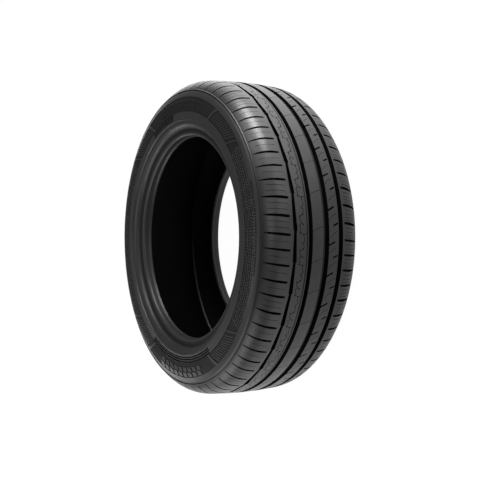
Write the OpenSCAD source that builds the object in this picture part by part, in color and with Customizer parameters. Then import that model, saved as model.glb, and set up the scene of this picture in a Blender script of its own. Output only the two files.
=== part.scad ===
// Passenger car tyre of size 205/55 R16, moulded in one piece.
// It lies on its inner sidewall: +Z is the wheel's axis and points out of the outer sidewall.
// The origin is the centre of the tyre. Angles run round the axis from +X.

/* [Carcass] */
// Diameter over the tread's centre
outer_d = 632; // [612:1:652]
// Diameter of the rim seat that the beads press on
rim_d = 405.6; // [400:0.1:410]
// Width between the two sidewalls at their widest
section_w = 218.4; // [208:0.1:226]
// Radius of the crown across the tread
crown_r = 790; // [600:10:1200]
// Radius of the shoulder as a share of the height from the rim seat to the tread
shoulder_share = 0.424; // [0.37:0.002:0.48]
// Wall through the tread and belts at the crown's centre
crown_wall = 14; // [12:0.1:16]
// Drop of the inner crown's corners below the tread's centre
corner_drop = 20; // [18:0.1:23]
// How far the inner crown's corners lie inside the widest place of the sidewalls
corner_in = 30.8; // [27:0.1:36]
// Wall of the flank where the tyre is widest
side_wall = 6.8; // [5.5:0.1:9]
// How far below the widest place the flank's wall is measured
side_wall_drop = 7; // [4:0.5:10]
// Height of the small step that the bladder leaves at the inner crown's corners
liner_step_h = 0.9; // [0.4:0.1:1.5]
// Width of that step
liner_step_w = 2.6; // [1.5:0.1:4]
// Bulge of the inner crown as a share of its length
liner_crown_bulge = 0.0186; // [0.01:0.001:0.03]
// Bulge of the inner flank above the widest place as a share of its length
liner_flank_bulge = 0.126; // [0.09:0.002:0.15]
// Bulge of the inner flank below it as a share of its length
liner_low_bulge = 0.077; // [0.04:0.001:0.1]
// How far each cutter reaches past the rubber
cut_past = 3; // [2:0.5:4]

/* [Bead] */
// How far a bead's outer face lies inside the widest place of its sidewall
bead_in = 13.2; // [10:0.1:16]
// Width of one bead's base from its toe to its outer face
bead_base_w = 19; // [17:0.1:21]
// Radius of the heel between the base and the outer face
heel_r = 6.5; // [5:0.1:7.5]
// Width of the true round land of the base
seat_w = 6; // [4:0.1:8]
// Step of the toe inside the rim seat
toe_drop = 1.2; // [0.6:0.1:2]
// Depth of the fine line between the land and the toe
toe_line_depth = 0.5; // [0.3:0.1:0.8]
// Height of the clamped zone, up to its fine line, as a share of the sidewall's height
clamp_share = 0.12; // [0.105:0.001:0.14]
// Width of the fine line that shows where the rim's flange ends
rim_line_w = 2.2; // [1.4:0.1:3]
// Depth of that line
rim_line_depth = 0.5; // [0.3:0.1:1]
// How far the clamped face leans out up to the line
clamp_rise = 0.8; // [0.4:0.1:1.4]
// Height of the bead inside the tyre as a share of the sidewall's height
bead_share = 0.147; // [0.12:0.001:0.17]
// Thickness that the bead loses up to that height
bead_taper = 10.8; // [9:0.1:13]
// Height of the rim protector's crest above the seat as a share of the sidewall's height
protector_share = 0.2915; // [0.28:0.0005:0.32]
// How far the rim protector stands out of the sidewall
protector_out = 0.4; // [0.2:0.1:1.5]
// Width of the crest's flat land
protector_w = 3; // [2:0.1:5]
// Run of the rim protector's outer slope
protector_run = 4; // [2.5:0.1:6]
// Drop of the step below the crest
step_h = 2.3; // [1.5:0.1:3]
// Width of that step
step_w = 1.7; // [1:0.1:2.5]
// Bulge of the rounded ring between the step and the clamped zone as a share of its width
ring_bulge = 0.125; // [0.06:0.005:0.16]
// Rise of that ring's lower edge above the bead's face
ring_foot = 2.5; // [1.8:0.1:3.5]

/* [Sidewall] */
// Depth of the sunk ring round the outer sidewall
panel_depth = 1; // [0.4:0.1:1.4]
// Height of the sunk ring's lower edge above the seat as a share of the sidewall's height
panel_low_share = 0.415; // [0.405:0.001:0.45]
// How far the flank falls back from its widest place down to the rim protector
flank_dip = 0.5; // [0.3:0.1:1]
// Angle up the shoulder at which the sunk ring starts
panel_top_a = 74; // [69:0.5:77]
// Width of the narrow bars that part the sunk ring
bar_w = 3.6; // [2:0.1:6]
// Angle of the narrow bars round the tyre, above and below +X
bar_a = 40.5; // [30:0.5:45]
// Width of the broad bars
broad_bar_w = 8; // [6:0.1:12]
// Angle of the broad bars round the tyre, above and below +X
broad_bar_a = 60.5; // [55:0.5:68]
// Lean of the bars from the radius
bar_lean = 35; // [20:1:45]
// Width of the leaning hatch ridges between a narrow and a broad bar
hatch_w = 3.2; // [2:0.1:4]
// Angle from one hatch ridge to the next
hatch_gap_a = 1.36; // [1.2:0.01:1.6]
// Number of hatch ridges in one field
hatch_count = 12; // [6:1:12]
// Height of the thin ridge below the shoulder slots
ridge_h = 0.8; // [0.4:0.1:1.4]
// Width of that ridge's slope towards the tread
ridge_rise_w = 1.5; // [0.8:0.1:2]
// Width of that ridge's top
ridge_top_w = 1; // [0.6:0.1:1.4]
// Width of its slope towards the sidewall
ridge_fall_w = 0.7; // [0.4:0.1:1]
// Angle of that ridge up the shoulder
ridge_a = 56; // [55:0.5:58]
// Width of the fine groove just below the ridge
ridge_line_w = 1.4; // [0.8:0.1:2]
// Depth of that groove
ridge_line_depth = 0.5; // [0.2:0.1:1]
// Number of the fine lines above the rim protector
line_count = 3; // [1:1:3]
// Spacing of those lines
line_gap = 4.8; // [4:0.1:5.2]
// Width of one of those lines
line_w = 2; // [1:0.1:2.4]
// Depth of one of those lines
line_depth = 1.2; // [0.6:0.1:1.5]
// Rubber left between the sunk ring and the first line
line_top = 0.6; // [0.4:0.1:1.5]

/* [Tread grooves] */
// Depth of the three straight grooves
groove_depth = 8; // [6:0.1:9]
// Place of the first straight groove's centre across the tread
groove_1_z = 13.6; // [12:0.1:15]
// Width of the first straight groove
groove_1_w = 7.6; // [6:0.1:9]
// Place of the second straight groove's centre
groove_2_z = -22.15; // [-23:0.05:-21]
// Width of the second straight groove
groove_2_w = 7.9; // [6.5:0.1:9]
// Place of the third straight groove's centre
groove_3_z = -52.85; // [-54:0.05:-52]
// Width of the third straight groove
groove_3_w = 9.9; // [8:0.1:11]
// How far each groove's walls lean in from the opening to the floor
groove_draft = 0.8; // [0.3:0.1:1.5]
// Width of the bevel beside the first two straight grooves
bevel_w = 5.2; // [4.5:0.1:6.5]
// Greatest depth of that bevel
bevel_depth = 2.2; // [1.5:0.1:3.5]
// Width of the low land between the first groove and its bevel
land_w = 2.3; // [1.5:0.1:3]
// Depth of that land
land_depth = 1.4; // [0.8:0.1:2]
// Place of the waving groove's centre
wave_z = 45.9; // [45:0.1:47]
// Least width of the waving groove
wave_w_min = 5.2; // [4:0.1:6]
// Greatest width of the waving groove
wave_w_max = 8.4; // [7:0.1:9]
// Depth of the waving groove
wave_depth = 7; // [5:0.1:8]
// Step between the floor's middle and its widened sides
wave_step = 0.6; // [0.3:0.1:1]
// Share of each two pitches over which the groove widens
wave_share = 0.94; // [0.7:0.01:0.97]
// Turn of the groove's waves ahead of the slots
wave_shift = 1.3; // [0:0.1:3]
// Number of wear bars round each straight groove
wear_bar_count = 6; // [3:1:8]
// Height of a wear bar above the groove's floor
wear_bar_h = 1.6; // [1:0.1:2.5]
// Length of a wear bar along the groove
wear_bar_l = 12; // [8:1:20]

/* [Tread slots] */
// Angle of the first slot
first_slot_a = 66.4; // [0:0.1:180]
// Depth of the shoulder slots
slot_depth = 6; // [4:0.1:7]
// Greatest width of a shoulder slot
slot_w = 4.4; // [3:0.1:5]
// Width of a shoulder slot at its inner end
slot_w_start = 3.4; // [2:0.1:4]
// Width of a shoulder slot at its outer end
slot_w_end = 1.2; // [0.8:0.1:1.8]
// How far from its inner end a slot is widest
slot_swell_l = 14; // [9:0.5:16]
// Where the slots of the outer shoulder start across the tread
outer_slot_z = 55.6; // [54:0.1:58]
// Where the slots of the inner shoulder start across the tread
inner_slot_z = 61.5; // [60:0.1:64]
// Angle up the shoulder at which the slots run out
slot_end_a = 51.5; // [46:0.5:52]
// Depth that a slot still has where it runs out
slot_end_depth = 0.8; // [0.4:0.1:1.2]
// Angle up the shoulder from which a slot's floor rises
slot_rise_a = 28; // [20:0.5:34]
// Lean of the shoulder slots round the tyre
slot_lean = 5.5; // [0:0.5:10]
// Turn of the inner shoulder's slots behind the outer shoulder's
inner_slot_shift = 1.8; // [0:0.1:4]
// Width of the notches in the fourth rib
notch_w = 3.2; // [2:0.1:3.6]
// Depth of the notches
notch_depth = 5; // [3:0.1:6.5]
// Lean of the notches round the tyre
notch_lean = 28; // [15:1:35]
// Length across the tread of the notches that open into the second straight groove
long_notch_l = 13.4; // [10:0.1:15]
// Length across the tread of the short notches between them
short_notch_l = 9.6; // [7:0.1:11]
// Rubber left between a short notch and the third straight groove
short_notch_gap = 1.4; // [1:0.1:3]
// How far a long notch starts inside the second straight groove
long_notch_run = 1; // [0.5:0.1:2]
// Place of the long notch in each two pitches, as a share from one slot to the second next
long_notch_share = 0.34; // [0.28:0.01:0.4]
// Place of the short notch in each two pitches
short_notch_share = 0.73; // [0.66:0.01:0.8]

/* [Hidden] */
rubber = [0.13, 0.13, 0.135];
$fn = 180;

// Relative length of the short, middle and long pitch, and their order round the tyre
PITCH_LENGTHS = [4.9, 5.4, 5.98];
PITCH_ORDER = [1, 2, 2, 1, 0, 0, 1, 0, 0, 2, 2, 2, 0, 0, 1, 0, 2, 1, 1, 0, 1, 0, 2, 2,
               1, 0, 2, 1, 1, 2, 0, 1, 2, 0, 1, 0, 2, 2, 1, 1, 0, 1, 2, 1, 0, 2, 1, 0,
               1, 1, 2, 0, 2, 1, 2, 0, 1, 2, 1, 0, 1, 2, 0, 1, 2, 2];
pitch_count = len(PITCH_ORDER);
function pitch_sum(k) = k == 0 ? 0 : pitch_sum(k - 1) + PITCH_LENGTHS[PITCH_ORDER[k - 1]];
pitch_unit = 360 / pitch_sum(pitch_count);
// Angle of slot k. The slots are counted clockwise.
function slot_a(k) = first_slot_a - pitch_unit * pitch_sum(k);

outer_r = outer_d / 2;
seat_r = rim_d / 2;
wall_h = outer_r - seat_r;
half_w = section_w / 2;
face_z = half_w - bead_in;
toe_z = face_z - bead_base_w;
crest_z = half_w + protector_out;
shoulder_r = shoulder_share * wall_h;

// The crown's arc runs into the shoulder's arc without a kink.
crown_c = [outer_r - crown_r, 0];
blend_a = asin((half_w - shoulder_r) / (crown_r - shoulder_r));
shoulder_c = [crown_c.x + (crown_r - shoulder_r) * cos(blend_a), half_w - shoulder_r];
function crown_at(z) = crown_c.x + sqrt(crown_r * crown_r - z * z);
function shoulder_at(a, depth) = shoulder_c + (shoulder_r - depth) * [cos(a), sin(a)];

function arc(c, r, a0, a1, n) =
    [for (i = [0:n]) let (a = a0 + (a1 - a0) * i / n) [c.x + r * cos(a), c.y + r * sin(a)]];
// An arc from p to q that bulges by a share of their distance, to the left or, below 0, to the right.
function bow(p, q, bulge, n) =
    let (l = norm(q - p),
         sag = abs(bulge) * l,
         left = [p.y - q.y, q.x - p.x] / l,
         r = (l * l / 4 + sag * sag) / (2 * sag),
         c = (p + q) / 2 - left * sign(bulge) * (r - sag),
         a0 = atan2(p.y - c.y, p.x - c.x))
    arc(c, r, a0, a0 - sign(bulge) * 2 * asin(l / 2 / r), n);
function tail(points) = [for (i = [1:len(points) - 1]) points[i]];
function mirrored(points) = [for (i = [len(points) - 1:-1:0]) [points[i].x, -points[i].y]];

// Outer half of the section, from the tread's centre to the bead's toe, as [radius, z].
widest = shoulder_c + [0, shoulder_r];
crest_r = seat_r + protector_share * wall_h;
line_r = seat_r + clamp_share * wall_h;
heel_c = [seat_r + heel_r, face_z - heel_r];
land_z = heel_c.y - seat_w;
function ridge_turn(way) = ridge_a + way / shoulder_r * 180 / PI;
ridge_foot = ridge_top_w / 2 + ridge_rise_w;
ridge_line = ridge_top_w / 2 + ridge_fall_w;
ridge_line_end = ridge_line + ridge_line_w;
outer_half = concat(
    arc(crown_c, crown_r, 0, blend_a, 5),
    tail(arc(shoulder_c, shoulder_r, blend_a, ridge_turn(-ridge_foot), 8)),
    [for (way = [-1, 1] * ridge_top_w / 2) shoulder_at(ridge_turn(way), -ridge_h)],
    [for (way = [ridge_line, ridge_line_end]) shoulder_at(ridge_turn(way), ridge_line_depth)],
    arc(shoulder_c, shoulder_r, ridge_turn(ridge_line_end + ridge_fall_w), 90, 6),
    [[crest_r + protector_w / 2 + protector_run, half_w - flank_dip],
     [crest_r + protector_w / 2, crest_z],
     [crest_r - protector_w / 2, crest_z]],
    bow([crest_r - protector_w / 2 - step_w, crest_z - step_h],
        [line_r + ring_foot, face_z + ring_foot], -ring_bulge, 7),
    [[line_r + rim_line_w / 2, face_z + 2 * clamp_rise],
     [line_r, face_z + clamp_rise - rim_line_depth],
     [line_r - rim_line_w / 2, face_z + clamp_rise]],
    arc(heel_c, heel_r, 90, 180, 7),
    [[seat_r, land_z],
     [seat_r + toe_line_depth, land_z - toe_line_depth],
     [seat_r + toe_line_depth, land_z - 2 * toe_line_depth],
     [seat_r, land_z - 3 * toe_line_depth],
     [seat_r - toe_drop, toe_z + toe_drop],
     [seat_r - toe_drop / 2, toe_z]]);

// Inner half of the section, from the bead's toe to the crown's centre.
flank_in = [widest.x - side_wall_drop, half_w - side_wall];
corner = [outer_r - corner_drop, half_w - corner_in];
inner_half = concat(
    [[seat_r + 2 * toe_drop, toe_z - toe_drop]],
    bow([seat_r + bead_share * wall_h, toe_z + bead_taper], flank_in, liner_low_bulge, 7),
    tail(bow(flank_in, corner, liner_flank_bulge, 8)),
    [corner - [liner_step_h, liner_step_w / 3],
     corner - [liner_step_h / 3, liner_step_w]],
    bow(corner + [liner_step_h / 3, -liner_step_w - liner_step_h], [outer_r - crown_wall, 0],
        liner_crown_bulge, 6));

half_section = concat(outer_half, inner_half);
section_points = concat(half_section, mirrored([for (i = [1:len(half_section) - 2]) half_section[i]]));

module carcass() {
    rotate_extrude() polygon(section_points);
}

// A straight groove: w wide at the tread. On its outer side it can have a bevel, which starts at the
// groove's edge or, behind a low land, land mm beside it.
module straight_groove(z, w, bevel, land) {
    top_r = crown_at(z) + cut_past;
    floor_r = crown_at(z) - groove_depth;
    edge = z + w / 2;
    bevel_r = crown_at(edge + land) - bevel_depth;
    slope = (bevel - land) / bevel_depth;
    side = bevel == 0 ? [[crown_at(edge), edge], [top_r, edge]]
        : concat(
            land == 0 ? [] : [for (x = [edge, edge + land]) [crown_at(edge) - land_depth, x]],
            [[bevel_r, edge + land], [top_r, edge + land + slope * (top_r - bevel_r)]]);
    difference() {
        rotate_extrude() polygon(concat([
            [top_r, z - w / 2],
            [crown_at(z - w / 2), z - w / 2],
            [floor_r, z - w / 2 + groove_draft],
            [floor_r, z + w / 2 - groove_draft]], side));
        for (i = [0:wear_bar_count - 1])
            rotate([0, 0, slot_a(0) + (i + 0.25) * 360 / wear_bar_count])
                translate([floor_r - cut_past, -wear_bar_l / 2, z - w])
                    cube([wear_bar_h + cut_past, wear_bar_l, 2 * w]);
    }
}

// A straight-sided prism that stands on the tread at angle a. Its outline is given as [tangential, z].
module radial_prism(a, outline) {
    rotate([0, 0, a])
        translate([outer_r - 2 * corner_drop, 0, 0])
            rotate([90, 0, 90])
                linear_extrude(height = 2 * corner_drop + cut_past) polygon(outline);
}

// The waving groove widens over each two pitches, then steps back.
module wave_groove() {
    floor_r = crown_at(wave_z) - wave_depth;
    floor_w = wave_w_min - groove_draft;
    rotate_extrude() polygon([
        [outer_r + cut_past, wave_z - wave_w_min / 2],
        [floor_r, wave_z - floor_w / 2],
        [floor_r, wave_z + floor_w / 2],
        [outer_r + cut_past, wave_z + wave_w_min / 2]]);
    difference() {
        for (k = [0:2:pitch_count - 2]) {
            half_l = outer_r * tan((slot_a(k) - slot_a(k + 2)) / 2) * wave_share;
            radial_prism((slot_a(k) + slot_a(k + 2)) / 2 + wave_shift, [
                [half_l, wave_z - wave_w_min / 4],
                [half_l, wave_z + wave_w_min / 4],
                [-half_l, wave_z + wave_w_max / 2],
                [-half_l, wave_z - wave_w_max / 2]]);
        }
        cylinder(r = floor_r + wave_step, h = section_w, center = true);
    }
}

// Outline of a shoulder slot from z0 to z1. It swells, thins out again, and leans round the tyre.
function slot_outline(z0, z1) =
    let (way = sign(z1 - z0),
         z = [z0, z0 + way * slot_swell_l, (z0 + way * slot_swell_l + z1) / 2, z1],
         w = [slot_w_start, slot_w, (slot_w + slot_w_end) / 2, slot_w_end] / 2,
         lean = [for (zi = z) (zi - z0) * tan(slot_lean)])
    concat([for (i = [0:3]) [lean[i] + w[i], z[i]]], [for (i = [3:-1:0]) [lean[i] - w[i], z[i]]]);
// Outline of a notch that starts at z0 and ends at z1.
function notch_outline(z0, z1) =
    let (lean = (z0 - z1) * tan(notch_lean), w = notch_w / 2)
    [[w, z0], [lean + w, z1], [lean - w, z1], [-w, z0]];

slot_end_z = shoulder_at(slot_end_a, 0).y;
notch_z = groove_2_z - groove_2_w / 2;
short_notch_z = groove_3_z + groove_3_w / 2 + short_notch_gap;

module shoulder_slots() {
    for (k = [0:pitch_count - 1]) {
        radial_prism(slot_a(k), slot_outline(outer_slot_z, slot_end_z));
        radial_prism(slot_a(k) - inner_slot_shift, slot_outline(-inner_slot_z, -slot_end_z));
    }
}

module notches() {
    for (k = [0:2:pitch_count - 2]) {
        pitch = slot_a(k) - slot_a(k + 2);
        radial_prism(slot_a(k) - long_notch_share * pitch,
                     notch_outline(notch_z + long_notch_run, notch_z - long_notch_l));
        radial_prism(slot_a(k) - short_notch_share * pitch,
                     notch_outline(short_notch_z + short_notch_l, short_notch_z));
    }
}

// What the slots and notches leave standing under them.
module under_tread() {
    notch_floor_r = crown_at(short_notch_z) - notch_depth;
    step_z = (wave_z + outer_slot_z) / 2;
    floor_end = shoulder_at(slot_end_a, slot_end_depth);
    rotate_extrude() polygon(concat(
        [[0, 0], [notch_floor_r, 0], [notch_floor_r, step_z], [crown_at(step_z) - slot_depth, step_z]],
        arc(shoulder_c, shoulder_r - slot_depth, blend_a + (slot_rise_a - blend_a) / 4, slot_rise_a, 2),
        [floor_end, [floor_end.x, slot_end_z + cut_past], [0, slot_end_z + cut_past]]));
}

// The ring sunk into the outer sidewall, and the leaning bars and hatch ridges that stand in it.
panel_low_r = seat_r + panel_low_share * wall_h;
panel_top_r = shoulder_at(panel_top_a, 0).x;
module sidewall_bar(a, w) {
    rotate([0, 0, a])
        translate([(panel_low_r + panel_top_r) / 2, 0, half_w])
            rotate([0, 0, -bar_lean])
                cube([2 * (panel_top_r - panel_low_r), w, 4 * cut_past], center = true);
}
module sunk_ring() {
    hatch_a = (bar_a + broad_bar_a - (hatch_count - 1) * hatch_gap_a) / 2;
    difference() {
        rotate_extrude() polygon(concat(
            [[panel_low_r, half_w + cut_past], [panel_low_r, half_w - flank_dip - panel_depth]],
            arc(shoulder_c, shoulder_r - panel_depth, 90, panel_top_a, 4),
            arc(shoulder_c, shoulder_r + cut_past, panel_top_a, 90, 3)));
        for (x = [0, 1], y = [0, 1])
            mirror([x, 0, 0]) mirror([0, y, 0]) {
                sidewall_bar(bar_a, bar_w);
                sidewall_bar(broad_bar_a, broad_bar_w);
                for (i = [0:hatch_count - 1])
                    sidewall_bar(hatch_a + i * hatch_gap_a, hatch_w);
            }
    }
}

// The fine lines above the rim protector, each cut along two arcs of the sidewall.
LINE_ARCS = [[-119, 58], [97, 22]];
module fine_lines() {
    for (i = [0:line_count - 1], span = LINE_ARCS)
        rotate([0, 0, span[0]])
            rotate_extrude(angle = span[1])
                translate([panel_low_r - line_top - line_w - i * line_gap, half_w - flank_dip - line_depth])
                    square([line_w, line_depth + cut_past]);
}

module tyre() {
    difference() {
        carcass();
        straight_groove(groove_1_z, groove_1_w, bevel_w, land_w);
        straight_groove(groove_2_z, groove_2_w, bevel_w, 0);
        straight_groove(groove_3_z, groove_3_w, 0, 0);
        wave_groove();
        difference() {
            union() {
                shoulder_slots();
                notches();
            }
            under_tread();
            mirror([0, 0, 1]) under_tread();
        }
        sunk_ring();
        fine_lines();
    }
}

color(rubber) tyre();
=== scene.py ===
import math
import random

import bpy
from mathutils import Matrix, Vector
from mathutils.geometry import delaunay_2d_cdt


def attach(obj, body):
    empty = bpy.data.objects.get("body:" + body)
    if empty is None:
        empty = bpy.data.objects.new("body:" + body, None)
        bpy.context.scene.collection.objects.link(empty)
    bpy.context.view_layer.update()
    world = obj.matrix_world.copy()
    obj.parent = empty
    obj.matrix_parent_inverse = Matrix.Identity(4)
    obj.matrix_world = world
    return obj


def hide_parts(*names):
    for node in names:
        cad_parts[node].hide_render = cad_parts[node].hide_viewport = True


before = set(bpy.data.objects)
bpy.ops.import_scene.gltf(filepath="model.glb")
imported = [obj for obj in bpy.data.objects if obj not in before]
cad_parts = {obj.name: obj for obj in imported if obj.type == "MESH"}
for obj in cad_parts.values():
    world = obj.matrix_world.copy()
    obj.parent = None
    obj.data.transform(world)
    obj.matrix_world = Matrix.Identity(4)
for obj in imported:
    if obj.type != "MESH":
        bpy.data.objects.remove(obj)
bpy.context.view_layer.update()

# The photograph's view
# The tyre lies on its inner sidewall. The camera looks down on it from the outer side and is rolled,
# so that the axis runs across the picture as in the photograph.
AXIS_TURN = math.radians(59.106)
AXIS_DIP = math.radians(0.085)
# The tyre's centre from the camera in metres: to the right, down, and ahead
TO_RIGHT, DOWN, AHEAD = -0.02614, -0.00561, 1.827
FOCAL_PX = 886.6
FRAME_PX = 480
SENSOR_MM = 36.0
CLIP_END = 20
tyre_centre = Vector((TO_RIGHT, DOWN, AHEAD))
axis = Vector((-math.sin(AXIS_TURN) * math.cos(AXIS_DIP), math.sin(AXIS_DIP),
               -math.cos(AXIS_TURN) * math.cos(AXIS_DIP)))
across = Vector((0, -1, 0)).cross(axis).normalized()
upright = axis.cross(across)
eye = Vector((-tyre_centre.dot(across), -tyre_centre.dot(upright), -tyre_centre.dot(axis)))
right_way = Vector((across.x, upright.x, axis.x))
up_way = -Vector((across.y, upright.y, axis.y))
back_way = -Vector((across.z, upright.z, axis.z))
camera = bpy.data.objects.new("camera", bpy.data.cameras.new("camera"))
bpy.context.scene.collection.objects.link(camera)
camera.matrix_world = Matrix.Translation(eye) @ Matrix((right_way, up_way, back_way)).transposed().to_4x4()
camera.data.sensor_width = SENSOR_MM
camera.data.lens = FOCAL_PX / FRAME_PX * SENSOR_MM
camera.data.clip_end = CLIP_END
bpy.context.scene.camera = camera

# The mould's outline
# The tyre is pressed out against a mould in one go, so one outline carries tread, shoulder, sidewall and
# bead. Sizes are in mm. A way runs along the outline from the tread's centre, above 0 on the outer side.
MM = 0.001
OUTER_R = 316.0
SEAT_R = 202.8
HALF_W = 109.2
CROWN_R = 790.0
SHOULDER_R = 48.0
HOLLOW_R, HOLLOW_DEPTH = 240.0, 0.5
PROTECTOR_R, PROTECTOR_RISE = 236.0, 0.4
blend = math.asin((HALF_W - SHOULDER_R) / (CROWN_R - SHOULDER_R))
crown_x = OUTER_R - CROWN_R
shoulder_x = crown_x + (CROWN_R - SHOULDER_R) * math.cos(blend)
shoulder_z = HALF_W - SHOULDER_R
way_to_blend = CROWN_R * blend
way_to_widest = way_to_blend + SHOULDER_R * (math.pi / 2 - blend)
flank = [(shoulder_x, HALF_W), (HOLLOW_R, HALF_W - HOLLOW_DEPTH), (PROTECTOR_R, HALF_W + PROTECTOR_RISE)]


def on_outline(way, depth=0.0):
    """Radius and z of the point that lies depth under the outline, way mm from the tread's centre."""
    side = 1 if way >= 0 else -1
    way = abs(way)
    if way <= way_to_blend:
        a = way / CROWN_R
        r = crown_x + (CROWN_R - depth) * math.cos(a)
        z = (CROWN_R - depth) * math.sin(a)
    elif way <= way_to_widest:
        a = blend + (way - way_to_blend) / SHOULDER_R
        r = shoulder_x + (SHOULDER_R - depth) * math.cos(a)
        z = shoulder_z + (SHOULDER_R - depth) * math.sin(a)
    else:
        r = shoulder_x - (way - way_to_widest)
        for (r0, z0), (r1, z1) in zip(flank, flank[1:]):
            z = z0 + (z1 - z0) * (r0 - r) / (r0 - r1) - depth
            if r >= r1:
                break
    return r, side * z


def way_at_shoulder(degrees):
    """Way along the outline to the point that stands at this angle up the shoulder."""
    return way_to_blend + SHOULDER_R * (math.radians(degrees) - blend)


def way_at_radius(radius):
    """Way along the outline to the point of the sidewall that stands at this radius."""
    return way_to_widest + shoulder_x - radius


# The run of pitches
# Tread blocks of three lengths follow each other in a mixed order, which keeps the tyre quiet. A place
# round the tyre is counted in pitches, clockwise from the first slot.
FIRST_SLOT = 66.4
PITCH_LENGTHS = (4.9, 5.4, 5.98)
PITCH_ORDER = (1, 2, 2, 1, 0, 0, 1, 0, 0, 2, 2, 2, 0, 0, 1, 0, 2, 1, 1, 0, 1, 0, 2, 2,
               1, 0, 2, 1, 1, 2, 0, 1, 2, 0, 1, 0, 2, 2, 1, 1, 0, 1, 2, 1, 0, 2, 1, 0,
               1, 1, 2, 0, 2, 1, 2, 0, 1, 2, 1, 0, 1, 2, 0, 1, 2, 2)
PITCHES = len(PITCH_ORDER)
MEAN_PITCH = 2 * math.pi * OUTER_R / PITCHES
turns = [0.0]
for kind in PITCH_ORDER:
    turns.append(turns[-1] + PITCH_LENGTHS[kind])
turns = [360 * t / turns[-1] for t in turns]


def angle_of(place):
    """Angle in radians of a place counted in pitches."""
    whole, k = divmod(place, PITCHES)
    i = min(int(k), PITCHES - 1)
    return math.radians(FIRST_SLOT - turns[i] - (turns[i + 1] - turns[i]) * (k - i) - 360 * whole)


def place_of(degrees):
    """Place in pitches of an angle in degrees."""
    turn = (FIRST_SLOT - degrees) % 360
    i = next(i for i in range(PITCHES) if turns[i + 1] >= turn)
    return i + (turn - turns[i]) / (turns[i + 1] - turns[i])


# The straight grooves
# Rings on the mould press three straight grooves into the tread, which drain water. The relief that runs
# all round is a list, and what repeats every pitch or two is cut as one tile and laid all round.
# The groove, bevel and liner finishes darken the black rubber as painted shade, and the liner step's finish
# is painted light.
TREAD, DEEP_SHADE, HALF_SHADE, FLANK_RUBBER, PANEL, SHADED_LINER, LIT_LINER_STEP, CHIPS = range(8)
GROOVE_DEPTH = 8.0
BEVEL_DEPTH = 2.2
STEP_DEPTH = 1.4
RAISED_DEPTH = 1.0
SLANT = -0.0032
COLUMNS = 4
NEAR = 1e-5
PLACE_GRAIN, MM_GRAIN = 5000, 500
tread_edge = way_at_shoulder(53.5)
# Each entry is a way, the depth there, and the skin from there to the next way
relief = [
    (-57.8, 0, DEEP_SHADE), (-57.0, GROOVE_DEPTH, DEEP_SHADE), (-48.7, GROOVE_DEPTH, DEEP_SHADE), (-47.9, 0, None),
    (-26.1, 0, DEEP_SHADE), (-25.3, GROOVE_DEPTH, DEEP_SHADE), (-19.0, GROOVE_DEPTH, DEEP_SHADE),
    (-18.2, BEVEL_DEPTH, HALF_SHADE), (-13.0, 0, None),
    (9.8, 0, DEEP_SHADE), (10.6, GROOVE_DEPTH, DEEP_SHADE), (16.6, GROOVE_DEPTH, DEEP_SHADE), (17.4, STEP_DEPTH, None),
    (19.5, STEP_DEPTH, HALF_SHADE), (19.9, BEVEL_DEPTH, HALF_SHADE), (22.8, 0, None)]
vertices = []
vertex_at = {}
faces = []
finishes = []


def base_depth(way):
    """Depth of the relief that runs all round."""
    for (w0, d0, _), (w1, d1, _) in zip(relief, relief[1:]):
        if w0 <= way <= w1:
            return d0 + (d1 - d0) * (way - w0) / (w1 - w0)
    return 0.0


def base_finish(way):
    """Skin of the relief that runs all round, or None on the plain rubber."""
    return next((f for (w0, _, f), (w1, _, _) in zip(relief, relief[1:]) if w0 <= way <= w1), None)


def new_vertex(place, r, z):
    """Index of a new vertex at this place, radius and z."""
    a = angle_of(place)
    vertices.append((r * math.cos(a) * MM, r * math.sin(a) * MM, z * MM))
    return len(vertices) - 1


def spot(place, way, depth):
    """Index of the vertex at this place and way, depth under the outline. A vertex is made once."""
    place %= PITCHES
    place_key = round(place * PLACE_GRAIN) % (PITCHES * PLACE_GRAIN)
    key = (place_key, round(way * MM_GRAIN), round(depth * MM_GRAIN))
    if key not in vertex_at:
        vertex_at[key] = new_vertex(place, *on_outline(way, depth))
    return vertex_at[key]


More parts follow.
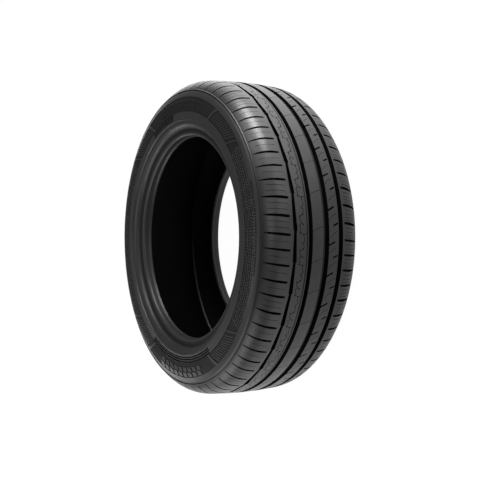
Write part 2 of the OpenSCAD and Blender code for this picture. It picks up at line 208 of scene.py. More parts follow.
def cut_tile(start, length, way_low, way_high, rows, kept_rows, cuts):
    """One tile of relief: corners as (place, way, depth), and faces as (corner indices, finish).
    Vertices stand on the rows, and an edge runs along each of kept_rows. cuts are (outline, depth, floor
    finish, wall finish), and a later one lies over an earlier one. One no deeper than RAISED_DEPTH keeps
    its own depth where the ground is deeper, as a raised block does."""
    points, edges, outlines = [], [], []
    count = round(length * COLUMNS)
    rows = sorted(set([way_low, way_high] + [w for w in rows if way_low < w < way_high]))
    for way in rows:
        first = len(points)
        points += [(start + length * i / count, way) for i in range(count + 1)]
        if way in kept_rows:
            edges += [(first + i, first + i + 1) for i in range(count)]
    for outline, _, _, _ in cuts:
        order = list(range(len(points), len(points) + len(outline)))
        area = sum(a[0] * b[1] - b[0] * a[1] for a, b in zip(outline, outline[1:] + outline[:1]))
        outlines.append(order if area > 0 else order[::-1])
        points += outline
    flat = [Vector(((p - start) * MEAN_PITCH, w)) for p, w in points]
    met, _, triangles, given, _, inside = delaunay_2d_cdt(flat, edges, outlines, 0, NEAR, True)
    xy = [points[g[0]] if g else (v.x / MEAN_PITCH + start, v.y) for v, g in zip(met, given)]
    corners, corner_at, tile_faces, depths_at = [], {}, [], {}

    def depth_in(triangle, v):
        ground = base_depth(xy[v][1])
        level = max(inside[triangle], default=None)
        if level is None:
            return ground
        depth = cuts[level][1]
        return max(ground, depth) if depth > RAISED_DEPTH else depth

    def corner(v, depth):
        key = (v, round(depth, 3))
        if key not in corner_at:
            corner_at[key] = len(corners)
            corners.append((*xy[v], depth))
        return corner_at[key]

    beside = {}
    for t, tri in enumerate(triangles):
        level = max(inside[t], default=None)
        depth = [depth_in(t, v) for v in tri]
        floor_skin = cuts[level][2] if level is not None else base_finish(sum(xy[v][1] for v in tri) / 3)
        tile_faces.append(([corner(v, d) for v, d in zip(tri, depth)], floor_skin))
        for i, v in enumerate(tri):
            depths_at.setdefault(v, set()).add(round(depth[i], 3))
            beside.setdefault(frozenset((v, tri[i - 1])), []).append((t, tri[i - 1], v))
    for pair in beside.values():
        if len(pair) < 2:
            continue
        (t, a, b), (u, _, _) = pair
        rise_a = [round(depth_in(t, a), 3), round(depth_in(u, a), 3)]
        rise_b = [round(depth_in(t, b), 3), round(depth_in(u, b), 3)]
        if rise_a[0] == rise_a[1] and rise_b[0] == rise_b[1]:
            continue
        between_a = sorted(d for d in depths_at[a] if min(rise_a) < d < max(rise_a))
        between_b = sorted(d for d in depths_at[b] if min(rise_b) < d < max(rise_b))
        if rise_a[0] > rise_a[1]:
            between_a.reverse()
        if rise_b[1] > rise_b[0]:
            between_b.reverse()
        loop = [(b, rise_b[0]), (a, rise_a[0])] + [(a, d) for d in between_a]
        loop += [(a, rise_a[1]), (b, rise_b[1])] + [(b, d) for d in between_b]
        wall = []
        for v, d in loop:
            c = corner(v, d)
            if c not in wall:
                wall.append(c)
        level = max(max(inside[t], default=-1), max(inside[u], default=-1))
        tile_faces.append((wall, cuts[level][3]))
    return corners, tile_faces


def lay_tile(tile, shift, plain, slant=SLANT):
    """Lays a tile shift pitches on, and leans it by slant pitches for each mm of way."""
    corners, tile_faces = tile
    index = [spot(p + shift + slant * w, w, d) for p, w, d in corners]
    for ring, finish in tile_faces:
        ring = [index[c] for c in ring]
        if len(set(ring)) == len(ring) and len(ring) > 2:
            faces.append(ring[::-1])
            finishes.append(plain if finish is None else finish)


INNER_BORDER, LEFT_BORDER, RIGHT_BORDER, OUTER_BORDER = -52.8, -22.2, 13.4, 51
TILE_START = 0.05
shoulder_rows = [way_to_blend] + [way_at_shoulder(a) for a in (10, 16, 22, 28, 34, 40, 45, 50)]
relief_rows = [w for w, _, _ in relief]
tread_rows = relief_rows + [INNER_BORDER, -36, -2, 5, 28, 36, OUTER_BORDER, 57]
tread_rows += shoulder_rows + [-w for w in shoulder_rows]

# The shoulders
# Slots open the shoulders sideways and run out round them, and steel blades in the mould cut thin sipes
# between the slots. A long pitch has one more sipe than the others on each side.
SLOT_DEPTH = 6.0
SLOT_W = 5.0
SLOT_TAIL_DEPTH = 4.2
SLOT_RUNOUT_DEPTH = 1.8
OUTER_SLOT_PLACE, OUTER_SLOT_WAY = 0.181, 55.6
INNER_SLOT_PLACE, INNER_SLOT_WAY = 0.136, -61.5
SIPE_DEPTH = 4.0
SIPE_W = 0.7
MITRE_LIMIT = 0.5
LONG_PITCH = 2
slot_end = way_at_shoulder(51.5)


def slot_cuts(place, way_in, side):
    """A shoulder slot: square at its inner end, widest a little on, and run out as a shallow tail."""
    half = SLOT_W / 2 / MEAN_PITCH
    swell = [(way_in, 0.77), (way_in + 7 * side, 0.9), (way_in + 14 * side, 1), (way_in + 22 * side, 0.85),
             (side * 90, 0.75), (side * 98, 0.6), (side * slot_end, 0.3)]

    def part(first, last):
        one_side = [(place - half * share, w) for w, share in swell[first:last + 1]]
        other_side = [(place + half * share, w) for w, share in swell[first:last + 1]]
        return one_side + other_side[::-1]

    return [(part(5, 6), SLOT_RUNOUT_DEPTH, HALF_SHADE, DEEP_SHADE), (part(4, 5), SLOT_TAIL_DEPTH, DEEP_SHADE, DEEP_SHADE),
            (part(0, 4), SLOT_DEPTH, DEEP_SHADE, DEEP_SHADE)]


def ribbon(points, width):
    """Outline of a cut that follows the points, given as (place, way), at this width in mm."""
    line = [Vector((p * MEAN_PITCH, w)) for p, w in points]
    left, right = [], []
    for i, p in enumerate(line):
        before = (p - line[i - 1]).normalized() if i else (line[1] - p).normalized()
        after = (line[i + 1] - p).normalized() if i < len(line) - 1 else before
        along = (before + after).normalized()
        side = Vector((-along.y, along.x)) * (width / 2 / max(MITRE_LIMIT, along.dot(after)))
        left.append((round((p.x + side.x) / MEAN_PITCH, 5), p.y + side.y))
        right.append((round((p.x - side.x) / MEAN_PITCH, 5), p.y - side.y))
    return left + right[::-1]


def sipe(points, width=SIPE_W):
    """A thin cut that follows the points, given as (place, way)."""
    return ribbon(points, width), SIPE_DEPTH, DEEP_SHADE, DEEP_SHADE


def outer_shoulder(sipe_places):
    """One pitch of the outer shoulder: its slot, and a sipe at each of the places."""
    cuts = slot_cuts(OUTER_SLOT_PLACE, OUTER_SLOT_WAY, 1)
    cuts += [sipe([(p, 58.5), (p - 0.01, 75), (p, 95)]) for p in sipe_places]
    return cut_tile(TILE_START, 1, OUTER_BORDER, tread_edge, tread_rows, tread_rows, cuts)


def inner_shoulder(sipe_places):
    """One pitch of the inner shoulder: its slot, and a sipe at each of the places."""
    cuts = slot_cuts(INNER_SLOT_PLACE, INNER_SLOT_WAY, -1)
    cuts += [sipe([(p, -65), (p + 0.02, -72), (p, -82), (p + 0.01, -94)]) for p in sipe_places]
    return cut_tile(TILE_START, 1, -tread_edge, INNER_BORDER, tread_rows, tread_rows, cuts)


short_tiles = (outer_shoulder([0.65]), inner_shoulder([0.42, 0.7, 0.9]))
long_tiles = (outer_shoulder([0.52, 0.84]), inner_shoulder([0.38, 0.6, 0.78, 0.94]))
for k, kind in enumerate(PITCH_ORDER):
    for tile in long_tiles if kind == LONG_PITCH else short_tiles:
        lay_tile(tile, k, TREAD)

# The middle ribs
# The second rib stands beside the waving groove and has a crooked, branched sipe with small round ends.
# The centre rib has one sipe, the fourth two notches and two sipes. They repeat every two pitches.
RIB_RUN = 2
SECOND_START, CENTRE_START, FOURTH_START = -0.2, -0.7, -0.45
WAVE_WAY, WAVE_MIN, WAVE_MAX, WAVE_DEPTH = 45.9, 5.2, 8.4, 7.0
KINK = -0.09
DOT = 2.8
PUZZLE_W = 1.0
NOTCH_W, NOTCH_DEPTH = 2.9, 5.0


def wave_half(place):
    """Half the waving groove's width, which grows over a rib's run and steps back at the kink."""
    return (WAVE_MIN + (WAVE_MAX - WAVE_MIN) * ((place - KINK) % RIB_RUN) / RIB_RUN) / 2


def round_end(place, way):
    """The small round end of a sipe, cut as a hexagon."""
    sixths = [a * math.pi / 3 for a in range(6)]
    ring = [(place + DOT / 2 / MEAN_PITCH * math.cos(a), way + DOT / 2 * math.sin(a)) for a in sixths]
    return ring, SIPE_DEPTH, DEEP_SHADE, DEEP_SHADE


def notch(points):
    """A notch that follows the points, given as (place, way)."""
    return ribbon(points, NOTCH_W), NOTCH_DEPTH, DEEP_SHADE, DEEP_SHADE


def rib_tile(start, low, high, cuts):
    """One run of a rib, between its two borders."""
    return cut_tile(start, RIB_RUN, low, high, tread_rows, relief_rows, cuts)


second_end = SECOND_START + RIB_RUN
wave_edge = [(SECOND_START, wave_half(SECOND_START)), (KINK - 0.01, WAVE_MAX / 2),
             (KINK + 0.03, WAVE_MIN / 2), (second_end, wave_half(second_end))]
wave = [(p, WAVE_WAY + h) for p, h in wave_edge] + [(p, WAVE_WAY - h) for p, h in wave_edge[::-1]]
puzzle = [(SECOND_START, 35.4), (-0.08, 35.4), (0.0, 36.1), (0.07, 28.4), (0.21, 28.8), (0.46, 26.5),
          (0.65, 31.7), (0.72, 28), (0.86, 28), (1.0, 29.9), (1.12, 36.1), (1.30, 36.5), (1.46, 32.8),
          (1.62, 37.6), (1.71, 35.4), (second_end, 35.4)]
second_rib = [(wave, WAVE_DEPTH, DEEP_SHADE, DEEP_SHADE), sipe(puzzle, PUZZLE_W),
              sipe([(0.07, 28.4), (-0.03, 21.5)]), sipe([(1.46, 32.8), (1.53, 29.1)])]
second_rib += [round_end(0.0, 36.1), round_end(0.07, 28.4), round_end(1.0, 29.9), round_end(1.12, 36.1),
               round_end(1.53, 29.1)]
centre_rib = [sipe([(-0.15, 9.9), (-0.27, 4), (-0.42, -6), (-0.49, -13.5)])]
fourth_rib = [notch([(0.61, -24.6), (0.324, -39.3)]), notch([(1.375, -36.3), (1.20, -46.2)]),
              sipe([(0.074, -28.5), (-0.06, -33), (-0.2, -36), (-0.364, -45.5)]),
              sipe([(1.10, -27.2), (1.0, -31), (0.83, -34.5), (0.78, -38), (0.675, -44.4)])]
rib_tiles = [rib_tile(SECOND_START, RIGHT_BORDER, OUTER_BORDER, second_rib),
             rib_tile(CENTRE_START, LEFT_BORDER, RIGHT_BORDER, centre_rib),
             rib_tile(FOURTH_START, INNER_BORDER, LEFT_BORDER, fourth_rib)]
for k in range(0, PITCHES, RIB_RUN):
    for tile in rib_tiles:
        lay_tile(tile, k, TREAD)

# The outer sidewall
# Below a thin ridge the rubber is smooth, then a raised band of the mould sinks a ring into it. Leaning
# bars part that ring into hatched, chipped and blocked fields, and fine lines run below it.
RIDGE_H = 1.0
RIDGE_LINE = 0.5
ridge_way = way_at_shoulder(56)
# Painted highlight and shade: the ridge's rise and top wear the paler tread skin, and its fall and the line
# below it the dark panel skin.
ridge_steps = [(-2.0, 0, TREAD), (-0.6, -RIDGE_H, TREAD), (0.7, -RIDGE_H, PANEL), (1.3, RIDGE_LINE, PANEL),
               (2.2, RIDGE_LINE, None), (4.4, 0, None)]
ridge = [(ridge_way + w, d, f) for w, d, f in ridge_steps]
relief = [(-w, d, None) for w, d, _ in ridge[::-1]] + relief + ridge
PANEL_DEPTH = 1.0
PANEL_R = 266.0
panel_top = way_at_shoulder(74)
panel_low = way_at_radius(SEAT_R + 47)
panel_span = panel_low - panel_top
flank_end = way_at_radius(PROTECTOR_R)
NARROW_BAR, BROAD_BAR = 3.6, 8.0
# Each bar's angle in degrees from the X axis, as all angles of the sidewall's pattern are, and its width
BARS = ((40.5, NARROW_BAR), (60.5, BROAD_BAR), (119.5, BROAD_BAR), (139.5, NARROW_BAR),
        (220.5, NARROW_BAR), (240.5, BROAD_BAR), (299.5, BROAD_BAR), (319.5, NARROW_BAR))
BAR_SWEEP = 2.3
sheet_start = TILE_START + SLANT * tread_edge
sheet_end = sheet_start + PITCHES
seam_angle = math.degrees(angle_of(sheet_start))


def bar_side(angle, offset, lower):
    """Angle of a bar's side at the sunk ring's upper or lower edge. Bars lean towards the Y axis below."""
    lean = BAR_SWEEP if math.cos(math.radians(angle)) * math.sin(math.radians(angle)) > 0 else -BAR_SWEEP
    return angle + math.degrees(offset / PANEL_R) + (lean if lower else -lean)


def on_sheet(outline):
    """Turns angles in degrees into places on the sheet that the outer sidewall is cut from."""
    places = [(place_of(d), w) for d, w in outline]
    return [(p if p > sheet_start else p + PITCHES, w) for p, w in places]


# The ring is sunk field by field, and the sheet's seam parts one field in two
fields = []
for (a, wa), (b, wb) in zip(BARS, BARS[1:] + ((BARS[0][0] + 360, BARS[0][1]),)):
    first = on_sheet([(bar_side(a, wa / 2, True), panel_low), (bar_side(a, wa / 2, False), panel_top)])
    last = on_sheet([(bar_side(b, -wb / 2, False), panel_top), (bar_side(b, -wb / 2, True), panel_low)])
    if a < seam_angle < b:
        before_seam = [(sheet_start, panel_low), (sheet_start, panel_top)] + first[::-1]
        fields.append((before_seam, PANEL_DEPTH, PANEL, PANEL))
        first = [(sheet_end, panel_low), (sheet_end, panel_top)]
    fields.append((first + last, PANEL_DEPTH, PANEL, PANEL))

# Fine leaning bars stand in the four fields between a narrow and a broad bar
HATCH_GAP, HATCH_W, HATCH_DEPTH, HATCH_SHIFT = 1.36, 3.2, 0.1, 1.2
details = []
hatch_low, hatch_high = panel_low - 2.5, panel_top + 1.5
for (a, _), (b, _) in zip(BARS[::2], BARS[1::2]):
    for i in range(1, int((b - a) / HATCH_GAP) - 1):
        d = a + HATCH_SHIFT + i * HATCH_GAP
        left, right = -HATCH_W / 2, HATCH_W / 2
        hatch = [(bar_side(d, left, False), hatch_high), (bar_side(d, right, False), hatch_high),
                 (bar_side(d, right, True), hatch_low), (bar_side(d, left, True), hatch_low)]
        details.append((hatch, HATCH_DEPTH, None, PANEL))

# Rows of small chips of mixed size and height stand in the fields at both ends of the X axis
CHIPPED_FIELDS = ((-36.5, 36.5), (143.5, 216.5))
CHIP_ROWS, CHIP_STEP, CHIP_SHIFT, CHIP_REACH = 5, 1.15, 0.25, 0.36
CHIP_SPREAD, CHIP_RISE, CHIP_DEPTH = (0.2, 0.45), (0.4, 1.15), (0.1, 0.6)
chip_dice = random.Random(7)
reach = panel_span / CHIP_ROWS * CHIP_REACH
for low, high in CHIPPED_FIELDS:
    for row in range(CHIP_ROWS):
        way = panel_top + panel_span * (row + 0.5) / CHIP_ROWS
        for i in range(int((high - low) / CHIP_STEP)):
            d = low + (i + 0.5 + CHIP_SHIFT * (row % 2)) * CHIP_STEP
            spread = [chip_dice.uniform(*CHIP_SPREAD) * CHIP_STEP for _ in range(4)]
            rise = [chip_dice.uniform(*CHIP_RISE) * reach for _ in range(4)]
            chip = [(d - spread[0], way - rise[0]), (d + spread[1], way - rise[1]),
                    (d + spread[2], way + rise[2]), (d - spread[3], way + rise[3])]
            details.append((chip, chip_dice.uniform(*CHIP_DEPTH), CHIPS, PANEL))

# Two rows of plain leaning blocks stand in the fields at both ends of the Y axis
BLOCK_STEP, BLOCK_W, BLOCK_LEAN, BLOCK_DEPTH = 4.2, 3.0, 0.6, 0.2
BLOCK_ROWS = ((0.06, 0.34), (0.42, 0.7))
for middle, block_skin in ((90, PANEL), (270, None)):
    for i in range(-4, 5):
        left = middle + i * BLOCK_STEP - BLOCK_W / 2
        right = middle + i * BLOCK_STEP + BLOCK_W / 2
        for row_top, row_foot in BLOCK_ROWS:
            top = panel_top + panel_span * row_top
            foot = panel_top + panel_span * row_foot
            block = [(left + BLOCK_LEAN, top), (right + BLOCK_LEAN, top),
                     (right - BLOCK_LEAN, foot), (left - BLOCK_LEAN, foot)]
            details.append((block, BLOCK_DEPTH, block_skin, PANEL))

# Three fine lines are cut below the ring along two stretches
LINED_STRETCHES = ((-119, -61), (97, 119))
LINES, LINE_W, LINE_GAP, LINE_DEPTH = 3, 2.7, 4.7, 1.8
LINE_START, LINE_PIECE = 0.6, 1.4
for low, high in LINED_STRETCHES:
    for i in range(LINES):
        way = panel_low + LINE_START + i * LINE_GAP
        count = int((high - low) / LINE_PIECE)
        span = [low + (high - low) * j / count for j in range(count + 1)]
        fine_line = [(d, way) for d in span] + [(d, way + LINE_W) for d in span[::-1]]
        details.append((fine_line, LINE_DEPTH, DEEP_SHADE, DEEP_SHADE))

# Shallow ticks of mixed width are cut above the ring
TICKS_FROM, TICKS_TO, TICK_DEPTH = -14.0, 20, 0.5
TICK_W, TICK_GAP = (0.3, 0.75), (0.15, 0.4)
tick_dice = random.Random(3)
tick_low, tick_high = way_at_shoulder(67.5), way_at_shoulder(72)
tick_at = TICKS_FROM
while tick_at < TICKS_TO:
    tick_w = tick_dice.uniform(*TICK_W)
    tick_end = tick_at + tick_w
    tick = [(tick_at, tick_low), (tick_end, tick_low), (tick_end, tick_high), (tick_at, tick_high)]
    details.append((tick, TICK_DEPTH, PANEL, DEEP_SHADE))
    tick_at += tick_w + tick_dice.uniform(*TICK_GAP)

sidewall_rows = [tread_edge] + [ridge_way + w for w, _, _ in ridge_steps]
sidewall_rows += [way_at_shoulder(a) for a in (63, 67.5, 72, 78, 84)] + [way_to_widest]
sidewall_rows += [way_at_radius(r) for r in (258, 241.3)] + [panel_top, panel_low, flank_end]
sidewall_cuts = fields + [(on_sheet(outline), *levels) for outline, *levels in details]
sidewall = cut_tile(sheet_start, PITCHES, tread_edge, flank_end, sidewall_rows, sidewall_rows, sidewall_cuts)
lay_tile(sidewall, 0, FLANK_RUBBER, slant=0)

# The beads, the liner and the inner sidewall
# Steel wire rings inside the beads hold the tyre on its rim: heel, seat and toe press on it. The liner is
# the airtight skin inside, and the inner sidewall is plain.
FACE_Z = 96.0
HEEL_R = 6.5
LAND_W = 6
TOE_Z = FACE_Z - 19
CREST_R = SEAT_R + 31.7
CREST_Z = HALF_W + PROTECTOR_RISE
LINE_R = SEAT_R + 13.6
ALL_ROUND = PITCHES * COLUMNS


def arc(cx, cz, radius, a0, a1, count):
    """Points of an arc round (cx, cz) from angle a0 to a1, in degrees."""
    return [(cx + radius * math.cos(math.radians(a0 + (a1 - a0) * i / count)),
             cz + radius * math.sin(math.radians(a0 + (a1 - a0) * i / count))) for i in range(count + 1)]


def bow(p, q, bulge, count):
    """An arc from p to q that bulges by a share of their distance: to the left, or to the right below 0."""
    length = math.dist(p, q)
    sag = abs(bulge) * length
    radius = (length * length / 4 + sag * sag) / (2 * sag)
    turn = math.copysign(1, bulge)
    offset = (radius - sag) * turn / length
    cx = (p[0] + q[0]) / 2 - (p[1] - q[1]) * offset
    cz = (p[1] + q[1]) / 2 - (q[0] - p[0]) * offset
    a0 = math.degrees(math.atan2(p[1] - cz, p[0] - cx))
    return arc(cx, cz, radius, a0, a0 - turn * 2 * math.degrees(math.asin(length / 2 / radius)), count)


def join_rings(near, far, finish):
    """Lays the strip between two rings of vertices."""
    for i in range(ALL_ROUND):
        n = (i + 1) % ALL_ROUND
        faces.append([near[i], near[n], far[n], far[i]][::-1])
        finishes.append(finish)


protector = [(CREST_R - 1.2, CREST_Z)]
protector += bow((CREST_R - 2.6, CREST_Z - 2.3), (LINE_R + 2.5, FACE_Z + 2.5), -0.15, 10)
clamped_face = [(LINE_R + 1.1, FACE_Z + 1.6), (LINE_R, FACE_Z + 0.3), (LINE_R - 1.1, FACE_Z + 0.8)]
heel = arc(SEAT_R + HEEL_R, FACE_Z - HEEL_R, HEEL_R, 90, 180, 8)
clamped_face.append(heel.pop(0))
land_z = FACE_Z - HEEL_R - LAND_W
seat = [(SEAT_R, land_z), (SEAT_R + 0.5, land_z - 0.5), (SEAT_R + 0.5, land_z - 1), (SEAT_R, land_z - 1.5)]
toe = [(SEAT_R - 1.2, TOE_Z + 1.2), (SEAT_R - 0.6, TOE_Z), (SEAT_R + 2.4, TOE_Z - 1.2)]
flank_in = (shoulder_x - 7, HALF_W - 6.8)
corner = (OUTER_R - 20, 78.4)
liner = bow((SEAT_R + 16.6, TOE_Z + 10.8), flank_in, 0.077, 8) + bow(flank_in, corner, 0.126, 9)[1:]
crown_in = bow((corner[0] + 0.3, corner[1] - 3.5), (OUTER_R - 14, 0), 0.0186, 6)
liner_step = [(corner[0] - 0.9, corner[1] - 1), (corner[0] - 0.3, corner[1] - 2.6), crown_in.pop(0),
              (corner[0] + 0.35, corner[1] - 4.6)]
# Inside the tyre the liner's flank and crown are black rubber made near black as painted shade.
stretches = ((protector, FLANK_RUBBER), (clamped_face, PANEL), (heel + seat + toe, TREAD), (liner, DEEP_SHADE),
             (liner_step, LIT_LINER_STEP), (crown_in, SHADED_LINER))
half = [(r, z, finish) for stretch, finish in stretches for r, z in stretch]
# The far half mirrors the near one. A ring's finish is that of the strip that ends at it, so on the way
# back the finishes move on by one ring.
far_half = [(r, -z, finish) for (r, z, _), (_, _, finish) in zip(half[-2::-1], half[:0:-1])]
inner_rows = sorted(set(sidewall_rows[1:]), reverse=True)
inner_sidewall = [(*on_outline(-w, base_depth(-w)), FLANK_RUBBER) for w in inner_rows]
rings = half + far_half + inner_sidewall
inner_start = TILE_START - SLANT * tread_edge
last_ring = [spot(sheet_start + i / COLUMNS, flank_end, 0) for i in range(ALL_ROUND)]
for j, (r, z, finish) in enumerate(rings):
    start = sheet_start + (inner_start - sheet_start) * (j + 1) / (len(rings) + 1)
    ring = [new_vertex(start + i / COLUMNS, r, z) for i in range(ALL_ROUND)]
    join_rings(last_ring, ring, finish)
    last_ring = ring
end_ring = [spot(inner_start + i / COLUMNS, -tread_edge, 0) for i in range(ALL_ROUND)]
join_rings(last_ring, end_ring, FLANK_RUBBER)

# The rubber
# One black compound, but the mould leaves each zone its own skin: greyish on the tread, satin on the
# sidewall and grained in the sunk fields. Grooves, bevels and the inside are darkened as painted shade.
CLOUD_SCALE, CLOUD_DETAIL = 22, 4
DARKEST, PALEST = 0.86, 1.14
ROUGHNESS_SWING = 0.08
GRAIN_DETAIL = 3
GRAIN_STRENGTH = 0.5


def maths(tree, operation, *inputs):
    """Output of a math node. Each input is another node's output or a number."""
    node = tree.nodes.new("ShaderNodeMath")
    node.operation = operation
    for i, given in enumerate(inputs):
        if isinstance(given, float):
            node.inputs[i].default_value = given
        else:
            tree.links.new(given, node.inputs[i])
    return node.outputs[0]


def map_range(tree, value, from_range, to_range):
    """Output of a node that maps one range of a value onto another."""
    node = tree.nodes.new("ShaderNodeMapRange")
    node.inputs["From Min"].default_value, node.inputs["From Max"].default_value = from_range
    node.inputs["To Min"].default_value, node.inputs["To Max"].default_value = to_range
    tree.links.new(value, node.inputs["Value"])
    return node.outputs["Result"]


def noise(tree, scale, detail):
    """Output of a noise that is fixed to the object."""
    where = tree.nodes.new("ShaderNodeTexCoord")
    node = tree.nodes.new("ShaderNodeTexNoise")
    node.inputs["Scale"].default_value = scale
    node.inputs["Detail"].default_value = detail
    tree.links.new(where.outputs["Object"], node.inputs["Vector"])
    return node.outputs["Fac"]


def place_on_object(tree):
    """X, Y and Z of the place on the object."""
    where = tree.nodes.new("ShaderNodeTexCoord")
    parts = tree.nodes.new("ShaderNodeSeparateXYZ")
    tree.links.new(where.outputs["Object"], parts.inputs[0])
    return parts.outputs


def rubber(name, colour, roughness, shine, grain, grain_depth):
    """A procedural rubber: clouded roughness, fine grain, and a slightly uneven black."""
    material = bpy.data.materials.new(name)
    material.use_nodes = True
    tree = material.node_tree
    shader = tree.nodes["Principled BSDF"]
    cloud = noise(tree, CLOUD_SCALE, CLOUD_DETAIL)
    shade = tree.nodes.new("ShaderNodeMix")
    shade.data_type = "RGBA"
    shade.inputs["A"].default_value = (*[c * DARKEST for c in colour], 1)
    shade.inputs["B"].default_value = (*[c * PALEST for c in colour], 1)
    tree.links.new(cloud, shade.inputs["Factor"])
    tree.links.new(shade.outputs["Result"], shader.inputs["Base Color"])
    dull = map_range(tree, cloud, (0, 1), (roughness - ROUGHNESS_SWING, roughness + ROUGHNESS_SWING))
    tree.links.new(dull, shader.inputs["Roughness"])
    shader.inputs["Specular IOR Level"].default_value = shine
    bump = tree.nodes.new("ShaderNodeBump")
    bump.inputs["Strength"].default_value = GRAIN_STRENGTH
    bump.inputs["Distance"].default_value = grain_depth
    tree.links.new(noise(tree, grain, GRAIN_DETAIL), bump.inputs["Height"])
    tree.links.new(bump.outputs["Normal"], shader.inputs["Normal"])
    return material


def paint_shade(skin, place, start, end, left, shine):
    """Paints shade onto a skin: darkens it and lowers its shine from start to end, in mm, down to the share
    left there.
    """
    tree = skin.node_tree
    shader = tree.nodes["Principled BSDF"]
    kept = map_range(tree, place, (start * MM, end * MM), (1.0, left))
    darker = tree.nodes.new("ShaderNodeMix")
    darker.data_type = "RGBA"
    darker.inputs["A"].default_value = (0, 0, 0, 1)
    tree.links.new(kept, darker.inputs["Factor"])
    tree.links.new(shader.inputs["Base Color"].links[0].from_socket, darker.inputs["B"])
    tree.links.new(darker.outputs["Result"], shader.inputs["Base Color"])
    tree.links.new(maths(tree, "MULTIPLY", kept, shine), shader.inputs["Specular IOR Level"])


# In the order of the finishes: name, colour, roughness, shine, and the grain's scale and depth in metres
skins_and_shades = [rubber("tread_skin_with_painted_shade", (0.03, 0.03, 0.031), 0.38, 0.5, 900, 0.0002),
         # Painted shade: the grooves' near-black stands in for the shade deep in them and inside the tyre.
         rubber("groove_painted_shade", (0.002, 0.002, 0.002), 0.7, 0.08, 700, 0.0002),
         # Painted shade: the bevels beside the grooves and the slots' shallow run-outs are darkened.
         rubber("bevel_painted_shade", (0.009, 0.009, 0.009), 0.7, 0.3, 700, 0.0002),
         rubber("sidewall_skin", (0.016, 0.016, 0.0165), 0.42, 0.5, 1200, 0.0001),
         rubber("panel_skin", (0.005, 0.005, 0.0053), 0.65, 0.3, 500, 0.0004),
         # Black liner rubber, made near black as painted shade inside the tyre.
         rubber("liner_painted_shade", (0.0015, 0.0015, 0.0015), 0.5, 0.12, 300, 0.0002),
         # Painted light: the step's pale grey stands in for light falling on it through the bore.
         rubber("liner_step_painted_light", (0.16, 0.16, 0.16), 0.45, 0.5, 300, 0.0002),
         rubber("chip_skin", (0.03, 0.03, 0.031), 0.42, 0.5, 900, 0.0002)]

# Painted shade darkens the tread's grey and lowers its shine towards both ridges, and the liner's step
# has painted light: pale towards -Y and darkened as painted shade towards +Y.
tread_tree = skins_and_shades[TREAD].node_tree
outwards = maths(tread_tree, "ABSOLUTE", place_on_object(tread_tree)["Z"])
paint_shade(skins_and_shades[TREAD], outwards, start=91, end=101, left=0.5, shine=0.5)
step_place = place_on_object(skins_and_shades[LIT_LINER_STEP].node_tree)
# Painted light and shade: the step stays pale towards -Y and darkens towards +Y.
paint_shade(skins_and_shades[LIT_LINER_STEP], step_place["Y"], start=-230, end=0, left=0.05, shine=0.5)

SHARP_DEGREES = 32
mesh = bpy.data.meshes.new("moulded_tyre")
mesh.from_pydata(vertices, [], faces)
for skin in skins_and_shades:
    mesh.materials.append(skin)
mesh.polygons.foreach_set("material_index", finishes)
mesh.validate()
mesh.shade_smooth()
mesh.set_sharp_from_angle(angle=math.radians(SHARP_DEGREES))
tyre = bpy.data.objects.new("moulded_tyre", mesh)
bpy.context.scene.collection.objects.link(tyre)
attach(tyre, "root")
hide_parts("tyre")

# The studio
# A white paper floor under the tyre fills the picture, and glows in the tyre's reflections, brighter along
# Y, as painted reflection light. Soft boxes light the tyre from the picture's top and foot, from over the
# sidewall, from the camera's side and from behind.
FLOOR_REACH = 7.0
FLOOR_WHITE = 0.9
CAMERA_GLOW, CAMERA_SHARE = 1.03, 0.95
SKY_GLOW = 0.2
MIRROR_GLOW = 4.5
MIRROR_REACH = 1.0
MIRROR_ENDS = (0.25, 0.3)
MIRROR_STOPS = ((0.3, 0.25), (0.45, 0.12), (0.55, 0.12), (0.7, 0.42), (0.85, 0.72))
floor_z = -CREST_Z * MM
floor_mesh = bpy.data.meshes.new("floor")
floor_mesh.from_pydata([(-FLOOR_REACH, -FLOOR_REACH, floor_z), (FLOOR_REACH, -FLOOR_REACH, floor_z),
                        (FLOOR_REACH, FLOOR_REACH, floor_z), (-FLOOR_REACH, FLOOR_REACH, floor_z)],
                       [], [(0, 1, 2, 3)])
floor = bpy.data.objects.new("floor", floor_mesh)
bpy.context.scene.collection.objects.link(floor)


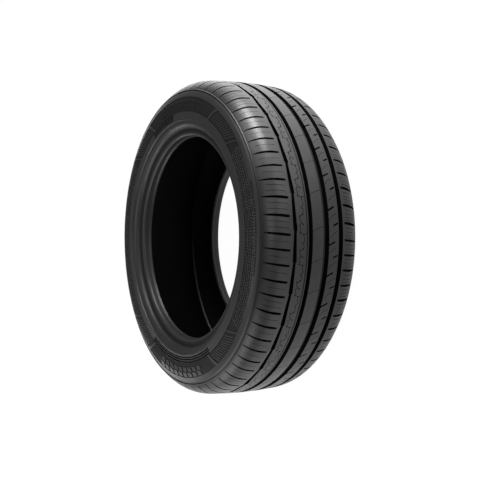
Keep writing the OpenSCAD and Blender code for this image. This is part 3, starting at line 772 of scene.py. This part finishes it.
def white_paper_with_painted_reflection():
    """White paper that glows to full white for the camera, and as painted reflection light by a ramp along Y
    in reflections.
    """
    material = bpy.data.materials.new("white_paper_with_painted_reflection")
    material.use_nodes = True
    tree = material.node_tree
    rays = tree.nodes.new("ShaderNodeLightPath")
    diffuse = tree.nodes.new("ShaderNodeBsdfDiffuse")
    diffuse.inputs["Color"].default_value = (FLOOR_WHITE, FLOOR_WHITE, FLOOR_WHITE, 1)
    ramp = tree.nodes.new("ShaderNodeValToRGB")
    for place, level in MIRROR_STOPS:
        ramp.color_ramp.elements.new(place).color = (level, level, level, 1)
    for end, level in zip((0, -1), MIRROR_ENDS):
        ramp.color_ramp.elements[end].color = (level, level, level, 1)
    along = map_range(tree, place_on_object(tree)["Y"], (-MIRROR_REACH, MIRROR_REACH), (0, 1))
    tree.links.new(along, ramp.inputs["Fac"])
    strength = tree.nodes.new("ShaderNodeMix")
    tree.links.new(rays.outputs["Is Camera Ray"], strength.inputs["Factor"])
    tree.links.new(maths(tree, "MULTIPLY", ramp.outputs["Color"], MIRROR_GLOW), strength.inputs["A"])
    strength.inputs["B"].default_value = CAMERA_GLOW
    glow = tree.nodes.new("ShaderNodeEmission")
    glow.inputs["Color"].default_value = (1, 1, 1, 1)
    tree.links.new(strength.outputs["Result"], glow.inputs["Strength"])
    seen = maths(tree, "MULTIPLY", rays.outputs["Is Camera Ray"], CAMERA_SHARE)
    glowing = maths(tree, "ADD", rays.outputs["Is Glossy Ray"], seen)
    paper = tree.nodes.new("ShaderNodeMixShader")
    tree.links.new(glowing, paper.inputs[0])
    tree.links.new(diffuse.outputs[0], paper.inputs[1])
    tree.links.new(glow.outputs[0], paper.inputs[2])
    tree.links.new(paper.outputs[0], tree.nodes["Material Output"].inputs["Surface"])
    return material


floor_mesh.materials.append(white_paper_with_painted_reflection())


def soft_box(name, place, size, power):
    """A soft lamp of this size in metres that points at the tyre's centre."""
    lamp = bpy.data.lights.new(name, "AREA")
    lamp.shape = "RECTANGLE"
    lamp.size, lamp.size_y = size
    lamp.energy = power
    box = bpy.data.objects.new(name, lamp)
    bpy.context.scene.collection.objects.link(box)
    box.location = place
    box.rotation_euler = (-Vector(place)).to_track_quat("-Z", "Y").to_euler()


soft_box("upper_box", (0.5, 2.2, 0.15), (1.4, 0.8), 75)
soft_box("upper_side_box", (0.3, 1.8, 1.5), (1.0, 1.0), 16)
soft_box("lower_side_box", (0.3, -1.8, 1.5), (1.0, 1.0), 11)
soft_box("lower_far_box", (-0.6, -1.9, 0.9), (1.0, 1.0), 10)
soft_box("side_box", (-0.6, -0.4, 2.4), (1.2, 1.2), 7)
soft_box("camera_box", (1.9, 0.4, 1.5), (1.0, 1.0), 5)
soft_box("back_box", (-2.1, -1.1, 0.65), (0.9, 0.9), 6)
world = bpy.data.worlds.new("studio")
bpy.context.scene.world = world
world.use_nodes = True
sky = world.node_tree.nodes["Background"]
sky.inputs["Color"].default_value = (1, 1, 1, 1)
sky.inputs["Strength"].default_value = SKY_GLOW
bpy.context.scene.view_settings.view_transform = "Standard"
